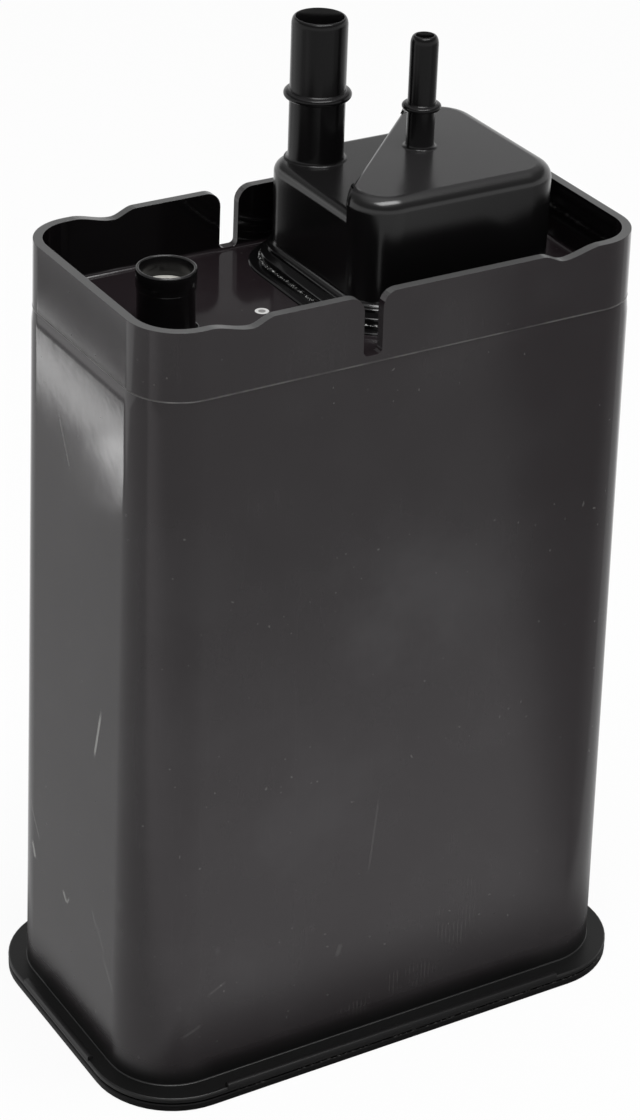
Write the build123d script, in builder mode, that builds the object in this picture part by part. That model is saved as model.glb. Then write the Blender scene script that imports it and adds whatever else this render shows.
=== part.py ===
from build123d import *
from math import cos, radians, sin, tan
import os

# Charcoal canister of a vehicle's fuel vapour system. Millimetres, +Z up.
# The origin is the middle of the underside of the bottom cover. X runs along the long face.

# Housing, outside
seam_length = 158.0       # along X, at the step under the collar
seam_width = 83.5         # along Y, at the same step
seam_corner = 15.7
seam_height = 225.5
draft = 1.05              # degrees that every upright wall leans in
wall = 2.7
collar_step = 0.25        # the collar stands in from the body by this
collar_high = 19.7        # from the seam to the rim
rim_wall = 2.7
deck_rise = 1.3           # from the seam to the deck
deck_thick = 2.5

# Weld flange at the foot, and the cover under it
flange_reach_x = 5.3
flange_reach_y = 6.8
flange_corner = 25.6
flange_thick = 1.8
flange_chamfer = 1.2      # where the body meets the flange
lip_high = 1.2            # raised lips along the straight edges of the flange
lip_wide = 1.7
lip_front_margin = 4.8    # from the end of a corner's round to the end of a lip
lip_side_margin = 5.5
cover_thick = 2.8

# Collar slots and scallops
slot_before_dome = 7.3    # from the slot's middle to the dome's left wall
slot_wide = 5.8
slot_floor_rise = 0.7     # above the deck
slot_floor_round = 1.4
slot_mouth_round = 4.6
scallop_start = 37.0      # the scallop's steep end, counted from the body's end
scallop_lowest = 30.0
scallop_finish = 17.5
scallop_depth = 2.3

# Vent nipple on the deck
vent_from_end = 26.2
vent_y = 0.0
vent_high = 18.0          # above the deck
vent_lip_radius = 8.4
vent_lip_high = 6.0
vent_lip_chamfer = 0.6
vent_foot_chamfer = 1.0
vent_neck_radius = 8.1
vent_bore_radius = 7.4
vent_step_depth = 6.6
vent_throat_radius = 6.2

# Partition between the two chambers
partition_before_dome = 12.2
partition_thick = 2.4
partition_foot = 14.0
inner_corner = 17.0       # of both chambers, all the way up

# Dome cover, welded to the deck
dome_length = 64.2
dome_from_end = 19.6      # from the dome's right wall to the body's end
dome_from_back = 6.75     # from the dome's back wall to the body's back
dome_from_front = 16.65
dome_corner = 11.5
dome_low_high = 24.4      # top of the low part above the dome's foot
dome_rise = 6.4           # from the low part to the high part
dome_wall = 2.2
ridge_from_front = 11.8   # where the ridge meets the dome's left wall
ridge_from_right = 15.9   # where it meets the dome's back wall
top_chamfer = 2.0         # takes the place of a small round
step_reach = 2.1          # first step at the dome's foot
step_high = 1.0
weld_reach = 5.0          # dome flange
weld_thick = 2.4
weld_back_reach = 1.4     # the flange is cut short on the side near the collar
step_back_reach = 1.1
seat_reach = 5.8          # raised rib on the deck under the dome flange
seat_wide = 5.0
seat_high = 0.8
pad_reach = 8.4
pad_high = 0.6

# Tubes on the dome, quick-connect ends
tank_from_left = 13.3     # from the dome's left wall
tank_from_back = 8.8
tank_high = 41.6          # above the low part
tank_radius = 7.94
tank_bore = 5.9
tank_mouth = 6.8
tank_bead_radius = 9.65
tank_bead_high = 2.3
tank_bead_rise = 19.2     # middle of the bead above the low part
purge_from_right = 28.6
purge_from_back = 28.0
purge_high = 32.6         # above the high part
purge_radius = 3.97
purge_bore = 2.1
purge_mouth = 2.6
purge_bead_radius = 5.56
purge_bead_high = 1.7
purge_bead_rise = 12.0
tip_share = 0.7           # how much of the tip's wall its slope takes
tip_slope = 1.6
mouth_deep = 2.0          # the bore opens by a step this far down

# Deck window under the dome, and the ribs under the deck
window_margin = 7.0
window_bar = 2.4
window_columns = 3
window_rows = 2
standoff_high = 2.0
standoff_wide = 2.0
standoff_pitch = 18.0     # over the tank chamber
standoff_count = 5
vent_standoff_gap = 12.0  # from the throat's middle to the first rib on each side

# Filling of the two chambers, from the top down
felt_thick = 2.0
foam_thick = 8.0
plate_thick = 3.0
plate_height = 24.0       # underside of the retainer plates
side_gap = 0.3            # clearance of plates and filling to the walls
plate_bar = 3.0
plate_slot_long = 22.0
plate_slot_wide = 8.0
plate_pitch_x = 26.0
plate_pitch_y = 16.0

# Springs under the plates
spring_wire = 1.6
spring_radius = 11.0      # to the middle of the wire
spring_turns = 4
spring_flat_turns = 0.5   # at each end, where the wire lies level
spring_steps = 8          # straight lengths in a turn
spring_sides = 6
seat_cross_high = 3.0     # crossed ribs that each end of a spring fits over
seat_cross_wide = 1.8
seat_cross_gap = 0.6
tank_spring_pitch = 46.0

# Bottom cover
panel_recess = 0.8        # the underside stands on a band round its edge
foot_band = 9.0
parting_high = 0.4        # open line between cover and flange
parting_deep = 1.2
rib_high = 4.0
rib_wide = 1.8
rib_y = 19.0
rib_from_spring = 19.0
spigot_high = 6.0         # strips that locate the cover inside the body's walls
spigot_wall = 1.8
spigot_gap = 0.4

# Small filters
screen_thick = 0.8
screen_gap = 0.1
screen_slots = 4
screen_slot_wide = 1.3
screen_slot_long = 7.6
screen_pitch = 2.2
dome_foam_high = 9.0
dome_foam_gap = 0.8
dome_foam_chamfer = 7.5   # its corners are cut straight, inside the rounds of rib and dome
over = 1.0                # a cut runs past a face by this
near = 0.01               # how exactly a face or edge is looked up by its place

# Heights that follow
flange_low = cover_thick
flange_top = flange_low + flange_thick
rim_height = seam_height + collar_high
deck_height = seam_height + deck_rise
deck_under = deck_height - deck_thick
slot_floor = deck_height + slot_floor_rise
vent_top = deck_height + vent_high
fill_top = deck_under - standoff_high
upper_felt_low = fill_top - felt_thick
upper_foam_low = upper_felt_low - foam_thick
plate_top = plate_height + plate_thick
lower_felt_top = plate_top + felt_thick
lower_foam_top = lower_felt_top + foam_thick
vent_step_height = vent_top - vent_step_depth
window_seat = deck_height + pad_high
weld_low = window_seat + seat_high
dome_foot = weld_low + weld_thick + step_high
dome_low = dome_foot + dome_low_high
dome_high = dome_low + dome_rise
dome_low_ceiling = dome_low - dome_wall
dome_high_ceiling = dome_high - dome_wall
tank_top = dome_low + tank_high
tank_bead_height = dome_low + tank_bead_rise
purge_top = dome_high + purge_high
purge_bead_height = dome_high + purge_bead_rise

# Places that follow
dome_right = seam_length / 2 - dome_from_end
dome_left = dome_right - dome_length
dome_back = seam_width / 2 - dome_from_back
dome_front = dome_from_front - seam_width / 2
ridge_left = Vector(dome_left, dome_front + ridge_from_front)
ridge_back = Vector(dome_right - ridge_from_right, dome_back)
ridge_along = (ridge_back - ridge_left).normalized()
seat_back_reach = weld_back_reach + seat_reach - weld_reach
tank_x = dome_left + tank_from_left
tank_y = dome_back - tank_from_back
purge_x = dome_right - purge_from_right
purge_y = dome_back - purge_from_back
slot_x = dome_left - slot_before_dome
vent_x = vent_from_end - seam_length / 2
partition_x = dome_left - partition_before_dome
tank_middle = (partition_x + seam_length / 2) / 2
vent_middle = (partition_x - seam_length / 2) / 2
tank_spring_xs = (tank_middle - tank_spring_pitch / 2, tank_middle + tank_spring_pitch / 2)
rib_xs = (
    vent_middle - rib_from_spring,
    vent_middle + rib_from_spring,
    tank_spring_xs[0] - rib_from_spring,
    tank_middle,
    tank_spring_xs[1] + rib_from_spring,
)


def lean(height):
    """How far a body wall has leaned in at a height, counted from the seam."""
    return (height - seam_height) * tan(radians(draft))


flange_length = seam_length + 2 * (flange_reach_x - lean(flange_low))
flange_width = seam_width + 2 * (flange_reach_y - lean(flange_low))
lip_front_length = flange_length - 2 * (flange_corner + lip_front_margin)
lip_side_length = flange_width - 2 * (flange_corner + lip_side_margin)
inner_width = seam_width - 2 * (wall + lean(deck_under))


def body_outline(height, reach=0.0, mode=Mode.ADD):
    """Rounded rectangle of the body's wall at a height, moved out by reach."""
    out = reach - lean(height)
    RectangleRounded(seam_length + 2 * out, seam_width + 2 * out, seam_corner + out, mode=mode)


def flange_outline(inset=0.0):
    """Rounded rectangle of the weld flange and the cover, moved in by inset."""
    RectangleRounded(flange_length - 2 * inset, flange_width - 2 * inset, flange_corner - inset)


def dome_outline(reach, back_reach=None, mode=Mode.ADD):
    """Rounded rectangle of the dome's foot, moved out by reach, less at the back."""
    back = dome_back + (reach if back_reach is None else back_reach)
    left, right, front = dome_left - reach, dome_right + reach, dome_front - reach
    with Locations(((left + right) / 2, (front + back) / 2)):
        RectangleRounded(right - left, back - front, dome_corner + reach, mode=mode)


def upright_block(low, high, reach, corner, leaning=draft):
    """Block with round uprights between two heights, reach outside the body's wall."""
    out = reach - lean(low if leaning else high)
    with BuildPart() as block:
        with BuildSketch(Plane.XY.offset(low)):
            Rectangle(seam_length + 2 * out, seam_width + 2 * out)
        extrude(amount=high - low, taper=leaning)
        uprights = block.edges().filter_by(lambda edge: abs((edge @ 1 - edge @ 0).Z) > near)
        fillet(uprights, corner)
    return block.part


def inner_block(low, high, gap=0.0, leaning=draft):
    """Solid that fills the housing between two heights, gap clear of its walls."""
    return upright_block(low, high, -wall - gap, inner_corner - gap, leaning)


def chamber_block(low, high, side, gap=0.0, leaning=draft):
    """The part of an inner block that lies on one side of the partition."""
    face = partition_x + side * (partition_thick / 2 + gap)
    with BuildPart() as chamber:
        add(inner_block(low, high, gap, leaning))
        keep = Keep.TOP if side > 0 else Keep.BOTTOM
        split(bisect_by=Plane.YZ.offset(face), keep=keep)
    return chamber.part


def dome_form(inset):
    """Outside of the dome above its foot, or its inside when inset by the wall."""
    with BuildPart() as form:
        with BuildSketch(Plane.XY.offset(dome_foot)):
            dome_outline(-inset)
        extrude(amount=dome_high - inset - dome_foot)
        far = dome_length + seam_width
        corner = ridge_left + Vector(0, 0, dome_low - inset)
        with BuildSketch(Plane(origin=corner, x_dir=ridge_along, z_dir=(0, 0, 1))):
            with Locations((0, far / 2 - inset)):
                Rectangle(2 * far, far)
        extrude(amount=dome_high - dome_low + over, mode=Mode.SUBTRACT)
        if inset == 0:
            tops = form.faces().filter_by(Plane.XY).sort_by(Axis.Z)[1:]
            high_face, low_face = tops[-1], tops[-2]
            ridge = high_face.edges().filter_by(lambda edge: is_ridge(edge))
            rims = high_face.edges() - ridge
            rims += low_face.edges().filter_by(lambda edge: not is_ridge(edge))
            chamfer(rims, top_chamfer)
    return form.part


def is_ridge(edge):
    """True for a straight edge that runs along the dome's diagonal."""
    run = edge @ 1 - edge @ 0
    return edge.geom_type == GeomType.LINE and run.cross(ridge_along).length < near * edge.length


def quick_connect_tube(x, y, root, top, radius, bore, mouth, bead_height, bead_radius, bead_high):
    """Tube that a quick connector clips over, drawn as (radius, height) and revolved."""
    bead_low, bead_top = bead_height - bead_high / 2, bead_height + bead_high / 2
    tip = tip_share * (radius - mouth)
    tip_high = tip_slope * tip
    with BuildPart() as tube:
        with BuildSketch(Plane(origin=(x, y, 0), x_dir=(1, 0, 0), z_dir=(0, -1, 0))):
            with BuildLine():
                Polyline(
                    (bore, root),
                    (radius, root),
                    (radius, bead_low),
                    (bead_radius, bead_low),
                    (bead_radius, bead_top),
                    (radius, bead_top),
                    (radius, top - tip_high),
                    (radius - tip, top),
                    (mouth, top),
                    (mouth, top - mouth_deep),
                    (bore, top - mouth_deep),
                    close=True,
                )
            make_face()
        revolve(axis=Axis((x, y, 0), (0, 0, 1)))
    return tube.part


# Voids of the housing, and the dome's two forms, are made first and then cut or added.
tank_void = chamber_block(partition_foot, deck_under, 1)
vent_void = chamber_block(partition_foot, deck_under, -1)
dome_outside = dome_form(0)
dome_inside = dome_form(dome_wall)

# Housing: one moulding with its deck, collar, vent nipple and foot flange.
with BuildPart() as housing:
    with BuildSketch(Plane.XY.offset(flange_low)):
        body_outline(flange_low)
    extrude(amount=seam_height - flange_low, taper=draft)
    with BuildSketch(Plane.XY.offset(flange_low)):
        flange_outline()
    extrude(amount=flange_thick)
    shoulder = housing.faces().filter_by(Plane.XY)
    shoulder = shoulder.filter_by_position(Axis.Z, flange_top - near, flange_top + near)[0]
    chamfer(shoulder.inner_wires()[0].edges(), flange_chamfer)
    with BuildSketch(Plane.XY.offset(flange_top)):
        for side in (-1, 1):
            with Locations((0, side * (flange_width - lip_wide) / 2)):
                Rectangle(lip_front_length, lip_wide)
            with Locations((side * (flange_length - lip_wide) / 2, 0)):
                Rectangle(lip_wide, lip_side_length)
    extrude(amount=lip_high)

    collar_corner = seam_corner - collar_step
    add(upright_block(seam_height, rim_height, -collar_step, collar_corner))
    well_reach = -collar_step - rim_wall
    add(
        upright_block(deck_height, rim_height, well_reach, collar_corner - rim_wall),
        mode=Mode.SUBTRACT,
    )

    add(inner_block(flange_low, partition_foot), mode=Mode.SUBTRACT)
    add(tank_void, mode=Mode.SUBTRACT)
    add(vent_void, mode=Mode.SUBTRACT)

    # Slots through the collar, front and back
    with BuildSketch(Plane.XZ):
        with Locations((slot_x, (slot_floor + rim_height + over) / 2)):
            slot = Rectangle(slot_wide, rim_height + over - slot_floor)
        fillet(slot.vertices().group_by(Axis.Y)[0], slot_floor_round)
    extrude(amount=seam_width, both=True, mode=Mode.SUBTRACT)
    mouths = housing.edges().filter_by(Axis.Y)
    mouths = mouths.filter_by_position(Axis.Z, rim_height - near, rim_height + near)
    mouths = mouths.filter_by_position(Axis.X, slot_x - slot_wide, slot_x + slot_wide)
    fillet(mouths, slot_mouth_round)

    # Scallops in the rim, two to a long side
    half_length = seam_length / 2
    with BuildSketch(Plane.XZ):
        with BuildLine():
            Spline(
                (half_length - scallop_start, rim_height),
                (half_length - scallop_lowest, rim_height - scallop_depth),
                (half_length - scallop_finish, rim_height),
                tangents=((1, -0.5), (1, 0.1)),
            )
            Polyline(
                (half_length - scallop_finish, rim_height),
                (half_length - scallop_finish, rim_height + over),
                (half_length - scallop_start, rim_height + over),
                (half_length - scallop_start, rim_height),
            )
        make_face()
        mirror(about=Plane.YZ)
    extrude(amount=seam_width, both=True, mode=Mode.SUBTRACT)

    # Pad and weld rib that carry the dome, with a barred window inside them
    with BuildSketch(Plane.XY.offset(deck_height)):
        dome_outline(pad_reach, seat_back_reach + pad_reach - seat_reach)
    extrude(amount=pad_high)
    with BuildSketch(Plane.XY.offset(deck_height + pad_high)):
        dome_outline(seat_reach, seat_back_reach)
        dome_outline(seat_reach - seat_wide, seat_back_reach - seat_wide, Mode.SUBTRACT)
    extrude(amount=seat_high)

    # Vent nipple
    vent_plane = Plane(origin=(vent_x, vent_y, 0), x_dir=(1, 0, 0), z_dir=(0, -1, 0))
    vent_axis = Axis((vent_x, vent_y, 0), (0, 0, 1))
    with BuildSketch(vent_plane):
        with BuildLine():
            Polyline(
                (0, deck_height - over),
                (vent_neck_radius + vent_foot_chamfer, deck_height - over),
                (vent_neck_radius + vent_foot_chamfer, deck_height),
                (vent_neck_radius, deck_height + vent_foot_chamfer),
                (vent_neck_radius, vent_top - vent_lip_high),
                (vent_lip_radius, vent_top - vent_lip_high + vent_lip_chamfer),
                (vent_lip_radius, vent_top),
                (0, vent_top),
                close=True,
            )
        make_face()
    revolve(axis=vent_axis)
    with BuildSketch(Plane.XY.offset(vent_top)):
        with Locations((vent_x, vent_y)):
            Circle(vent_bore_radius)
    extrude(amount=-vent_step_depth, mode=Mode.SUBTRACT)
    with BuildSketch(Plane.XY.offset(vent_top)):
        with Locations((vent_x, vent_y)):
            Circle(vent_throat_radius)
    extrude(amount=deck_under - vent_top - over, mode=Mode.SUBTRACT)

    # Window under the dome, crossed by bars, and standoff ribs under the deck
    with BuildSketch(Plane.XY.offset(window_seat)):
        dome_outline(-dome_wall - window_margin)
        span_x = dome_right - dome_left
        span_y = dome_back - dome_front
        middle = ((dome_left + dome_right) / 2, (dome_front + dome_back) / 2)
        with Locations(middle):
            with GridLocations(span_x / window_columns, span_y, window_columns - 1, 1):
                Rectangle(window_bar, span_y, mode=Mode.SUBTRACT)
            with GridLocations(span_x, span_y / window_rows, 1, window_rows - 1):
                Rectangle(span_x, window_bar, mode=Mode.SUBTRACT)
    extrude(amount=deck_under - window_seat, mode=Mode.SUBTRACT)
    with BuildSketch(Plane.XY.offset(fill_top)):
        with Locations((tank_middle, 0)):
            with GridLocations(standoff_pitch, 0, standoff_count, 1):
                Rectangle(standoff_wide, inner_width + wall)
        for step in (-1, 1, 2):
            with Locations((vent_x + step * vent_standoff_gap, 0)):
                Rectangle(standoff_wide, inner_width + wall)
    extrude(amount=standoff_high)
housing.part.label = "housing"

# Dome cover: wall, stepped weld flange and two tubes.
tank_tube = quick_connect_tube(
    tank_x, tank_y, dome_low_ceiling, tank_top, tank_radius, tank_bore, tank_mouth,
    tank_bead_height, tank_bead_radius, tank_bead_high,
)
purge_tube = quick_connect_tube(
    purge_x, purge_y, dome_high - over, purge_top, purge_radius, purge_bore, purge_mouth,
    purge_bead_height, purge_bead_radius, purge_bead_high,
)
with BuildPart() as dome_cover:
    add(dome_outside)
    with BuildSketch(Plane.XY.offset(weld_low)):
        dome_outline(weld_reach, weld_back_reach)
    extrude(amount=weld_thick)
    with BuildSketch(Plane.XY.offset(weld_low + weld_thick)):
        dome_outline(step_reach, step_back_reach)
    extrude(amount=step_high)
    add(tank_tube)
    add(purge_tube)
    add(dome_inside, mode=Mode.SUBTRACT)
    with BuildSketch(Plane.XY.offset(weld_low)):
        dome_outline(-dome_wall)
    extrude(amount=dome_foot - weld_low, mode=Mode.SUBTRACT)
    with BuildSketch(Plane.XY.offset(dome_low_ceiling - over)):
        with Locations((tank_x, tank_y)):
            Circle(tank_bore)
    extrude(amount=dome_wall + 2 * over, mode=Mode.SUBTRACT)
    with BuildSketch(Plane.XY.offset(dome_high_ceiling - over)):
        with Locations((purge_x, purge_y)):
            Circle(purge_bore)
    extrude(amount=dome_wall + 2 * over, mode=Mode.SUBTRACT)
dome_cover.part.label = "dome_cover"

# Bottom cover: weld band, spigot, ribs and the seats of the springs.
springs = {f"tank_spring_{n + 1}": x for n, x in enumerate(tank_spring_xs)}
springs["vent_spring"] = vent_middle
seat_cross_reach = spring_radius - spring_wire / 2 - seat_cross_gap
spigot_reach = -wall - spigot_gap - lean(flange_low)
spigot_length = seam_length + 2 * spigot_reach
spigot_width = seam_width + 2 * spigot_reach


def spring_seats(xs, base, high):
    """Crossed ribs that the springs' ends fit over, standing on the height base."""
    with BuildPart() as seats:
        with BuildSketch(Plane.XY.offset(base)):
            with Locations(*[(x, 0) for x in xs]):
                Rectangle(2 * seat_cross_reach, seat_cross_wide)
                Rectangle(seat_cross_wide, 2 * seat_cross_reach)
        extrude(amount=high)
    return seats.part


with BuildPart() as bottom_cover:
    with BuildSketch(Plane.XY):
        flange_outline()
    extrude(amount=cover_thick - parting_high)
    with BuildSketch(Plane.XY):
        flange_outline(foot_band)
    extrude(amount=panel_recess, mode=Mode.SUBTRACT)
    with BuildSketch(Plane.XY.offset(cover_thick - parting_high)):
        flange_outline(parting_deep)
    extrude(amount=parting_high)
    with BuildSketch(Plane.XY.offset(cover_thick)):
        for side in (-1, 1):
            with Locations((0, side * (spigot_width - spigot_wall) / 2)):
                Rectangle(spigot_length - 2 * inner_corner, spigot_wall)
            with Locations((side * (spigot_length - spigot_wall) / 2, 0)):
                Rectangle(spigot_wall, spigot_width - 2 * inner_corner)
    extrude(amount=spigot_high)
    with BuildSketch(Plane.XY.offset(cover_thick)):
        for side in (-1, 1):
            with Locations((0, side * rib_y)):
                Rectangle(spigot_length - 2 * spigot_wall, rib_wide)
        for x in rib_xs:
            with Locations((x, 0)):
                Rectangle(rib_wide, 2 * rib_y)
    extrude(amount=rib_high)
    add(spring_seats(springs.values(), cover_thick, rib_high))
bottom_cover.part.label = "bottom_cover"


def retainer_plate(side, spring_xs):
    """Slotted plate that the springs push up under the lower foam."""
    blank = chamber_block(plate_height, plate_top, side, side_gap, leaning=0)
    box = blank.bounding_box()
    columns = int((box.size.X - 2 * plate_bar) // plate_pitch_x)
    rows = int((box.size.Y - 2 * plate_bar) // plate_pitch_y)
    with BuildPart() as plate:
        add(blank)
        with BuildSketch(Plane.XY.offset(plate_height)):
            with Locations((box.center().X, 0)):
                with GridLocations(plate_pitch_x, plate_pitch_y, columns, rows):
                    Rectangle(plate_slot_long, plate_slot_wide)
        extrude(amount=plate_thick, mode=Mode.SUBTRACT)
        add(spring_seats(spring_xs, plate_height, -seat_cross_high))
    return plate.part


def coil_spring(x):
    """Wire wound between the cover and a plate, each end lying level for half a turn."""
    low, high = cover_thick + spring_wire / 2, plate_height - spring_wire / 2
    flat = spring_flat_turns * spring_steps
    last = spring_turns * spring_steps
    with BuildPart() as spring:
        for step in range(last + 1):
            angle = radians(360 * step / spring_steps)
            rise = min(max((step - flat) / (last - 2 * flat), 0), 1)
            section = Plane(
                origin=(x, 0, low + rise * (high - low)),
                x_dir=(cos(angle), sin(angle), 0),
                z_dir=(-sin(angle), cos(angle), 0),
            )
            with BuildSketch(section):
                with Locations((spring_radius, 0)):
                    RegularPolygon(spring_wire / 2, spring_sides, major_radius=False)
        loft(ruled=True)
    return spring.part


pieces = {"housing": housing.part, "dome_cover": dome_cover.part, "bottom_cover": bottom_cover.part}

# Filling of each chamber, from the deck down
chambers = {"tank": (1, tank_spring_xs), "vent": (-1, (vent_middle,))}
for name, (side, spring_xs) in chambers.items():
    pieces[f"{name}_carbon"] = chamber_block(lower_foam_top, upper_foam_low, side, side_gap)
    thin_layers = {
        "upper_felt": (upper_felt_low, fill_top),
        "upper_foam": (upper_foam_low, upper_felt_low),
        "lower_foam": (lower_felt_top, lower_foam_top),
        "lower_felt": (plate_top, lower_felt_top),
    }
    for layer, (low, high) in thin_layers.items():
        pieces[f"{name}_{layer}"] = chamber_block(low, high, side, side_gap, leaning=0)
    pieces[f"{name}_plate"] = retainer_plate(side, spring_xs)
for name, x in springs.items():
    pieces[name] = coil_spring(x)

# Screen on the step inside the vent nipple
with BuildPart() as vent_screen:
    with BuildSketch(Plane.XY.offset(vent_step_height)):
        with Locations((vent_x, vent_y)):
            Circle(vent_bore_radius - screen_gap)
    extrude(amount=screen_thick)
    with BuildSketch(Plane.XY.offset(vent_step_height)):
        with Locations((vent_x, vent_y)):
            with GridLocations(screen_pitch, screen_pitch, screen_slots, 1):
                Rectangle(screen_slot_wide, screen_slot_long)
    extrude(amount=screen_thick, mode=Mode.SUBTRACT)
pieces["vent_screen"] = vent_screen.part

# Foam that catches liquid fuel, on the window under the dome
foam_inset = 2 * (dome_wall + dome_foam_gap)
with BuildPart() as dome_foam:
    with BuildSketch(Plane.XY.offset(window_seat)):
        with Locations(((dome_left + dome_right) / 2, (dome_front + dome_back) / 2)):
            block = Rectangle(dome_length - foam_inset, dome_back - dome_front - foam_inset)
        chamfer(block.vertices(), dome_foam_chamfer)
    extrude(amount=dome_foam_high)
pieces["dome_foam"] = dome_foam.part

os.makedirs("parts", exist_ok=True)
for name, piece in pieces.items():
    piece.label = name
    export_step(piece, f"parts/{name}.step")
    print(name, "solids", len(piece.solids()), "volume", round(piece.volume))
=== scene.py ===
import math

import bmesh
import bpy
from mathutils import Matrix, Vector, noise


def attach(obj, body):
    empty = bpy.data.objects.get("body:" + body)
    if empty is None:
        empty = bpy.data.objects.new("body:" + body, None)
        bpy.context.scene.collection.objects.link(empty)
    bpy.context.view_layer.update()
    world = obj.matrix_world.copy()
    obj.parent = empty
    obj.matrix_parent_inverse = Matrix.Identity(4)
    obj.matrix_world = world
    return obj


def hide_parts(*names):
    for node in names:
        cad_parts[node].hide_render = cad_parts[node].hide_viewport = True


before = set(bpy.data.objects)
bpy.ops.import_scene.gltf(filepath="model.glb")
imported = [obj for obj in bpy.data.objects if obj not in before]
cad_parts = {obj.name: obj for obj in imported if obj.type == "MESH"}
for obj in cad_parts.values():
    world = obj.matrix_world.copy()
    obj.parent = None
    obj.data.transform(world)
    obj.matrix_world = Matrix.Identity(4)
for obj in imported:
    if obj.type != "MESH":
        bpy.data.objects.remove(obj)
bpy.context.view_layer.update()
print("frame loaded:", len(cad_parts), "nodes")

# Pieces and cutters are modelled in millimetres and brought to metres as meshes.
toMetres = 0.001

body = {
    "length": 158.0,          # at the seam
    "width": 83.5,
    "corner": 15.7,
    "seam": 225.5,
    "lean": math.tan(math.radians(1.05)),
    "cornerSteps": 14,
}


def leanAt(height):
    return (height - body["seam"]) * body["lean"]


def outlineRing(bm, length, width, corner, height, centre=(0.0, 0.0)):
    # one rounded outline as a face: a flat square with its corners bevelled round
    made = bmesh.ops.create_grid(bm, x_segments=1, y_segments=1, size=0.5)["verts"]
    bmesh.ops.scale(bm, vec=(length, width, 1.0), verts=made)
    bmesh.ops.translate(bm, vec=(centre[0], centre[1], height), verts=made)
    bmesh.ops.bevel(
        bm, geom=made, offset=corner, offset_type="OFFSET", segments=body["cornerSteps"],
        profile=0.5, affect="VERTICES", material=-1,
    )
    bm.faces.ensure_lookup_table()
    return bm.faces[-1]


def ringStack(bm, rings):
    # rings are (length, width, corner, height) or with a centre; both ends are closed
    faces = [outlineRing(bm, *ring) for ring in rings]
    loops = [list(face.edges) for face in faces]
    bmesh.ops.delete(bm, geom=faces[1:-1], context="FACES_ONLY")
    for lower, upper in zip(loops, loops[1:]):
        bmesh.ops.bridge_loops(bm, edges=lower + upper)


def bodyRing(reach, height):
    out = reach - leanAt(height)
    return (body["length"] + 2 * out, body["width"] + 2 * out, body["corner"] + out, height)


def arc(start, end, centreX, centreY, radius, steps):
    # points of a round in a section, angles in degrees
    turns = [math.radians(start + (end - start) * n / steps) for n in range(steps + 1)]
    return [(centreX + radius * math.cos(turn), centreY + radius * math.sin(turn)) for turn in turns]


def flatNormals(piece):
    # large faces keep their own normals, so that only the rounds beside them shade round
    even = piece.modifiers.new("flatNormals", "WEIGHTED_NORMAL")
    even.mode = "FACE_AREA"
    even.weight = 80
    even.keep_sharp = True


def finishPiece(bm, name, material, replaced=(), smoothTo=32):
    bmesh.ops.remove_doubles(bm, verts=bm.verts, dist=0.0005)
    bmesh.ops.recalc_face_normals(bm, faces=bm.faces)
    bmesh.ops.scale(bm, vec=(toMetres, toMetres, toMetres), verts=bm.verts)
    mesh = bpy.data.meshes.new(name)
    bm.to_mesh(mesh)
    bm.free()
    mesh.shade_smooth()
    mesh.set_sharp_from_angle(angle=math.radians(smoothTo))
    mesh.materials.append(material)
    piece = bpy.data.objects.new(name, mesh)
    bpy.context.scene.collection.objects.link(piece)
    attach(piece, "root")
    if replaced:
        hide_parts(*replaced)
    return piece


def applyModifiers(piece):
    # bakes what the modifiers make into the mesh
    held = bpy.context.evaluated_depsgraph_get()
    mesh = bpy.data.meshes.new_from_object(piece.evaluated_get(held))
    old = piece.data
    piece.modifiers.clear()
    piece.data = mesh
    bpy.data.meshes.remove(old)


def cutWith(piece, cutter):
    cut = piece.modifiers.new("cut", "BOOLEAN")
    cut.operation = "DIFFERENCE"
    cut.solver = "EXACT"
    cut.object = cutter
    applyModifiers(piece)
    bpy.data.objects.remove(cutter)


def spunShape(bm, profile, place, steps):
    # profile is (radius, height) from the outside foot round to the inside
    verts = [bm.verts.new((place[0] + radius, place[1], height)) for radius, height in profile]
    edges = [bm.edges.new(pair) for pair in zip(verts, verts[1:])]
    bmesh.ops.spin(
        bm, geom=verts + edges, cent=(place[0], place[1], 0), axis=(0, 0, 1), angle=math.tau,
        steps=steps, use_merge=True,
    )


# materials


class Wire:
    # an output socket, so that shader maths reads as plain expressions
    def __init__(self, graph, socket):
        self.graph = graph
        self.socket = socket

    def maths(self, operation, *values):
        return self.graph.node("ShaderNodeMath", {"operation": operation}, dict(enumerate(values)))

    def __add__(self, other):
        return self.maths("ADD", self, other)

    def __radd__(self, other):
        return self.maths("ADD", other, self)

    def __sub__(self, other):
        return self.maths("SUBTRACT", self, other)

    def __rsub__(self, other):
        return self.maths("SUBTRACT", other, self)

    def __mul__(self, other):
        return self.maths("MULTIPLY", self, other)

    def __rmul__(self, other):
        return self.maths("MULTIPLY", other, self)

    def __truediv__(self, other):
        return self.maths("DIVIDE", self, other)

    def least(self, other):
        return self.maths("MINIMUM", self, other)

    def most(self, other):
        return self.maths("MAXIMUM", self, other)

    def power(self, other):
        return self.maths("POWER", self, other)

    def size(self):
        return self.maths("ABSOLUTE", self)

    def sine(self):
        return self.maths("SINE", self)

    def fade(self, low, high, atLow=0.0, atHigh=1.0):
        # smooth change from atLow to atHigh as the value goes from low to high
        values = {0: self, 1: low, 2: high, 3: atLow, 4: atHigh}
        return self.graph.node("ShaderNodeMapRange", {"interpolation_type": "SMOOTHSTEP"}, values)


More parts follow.
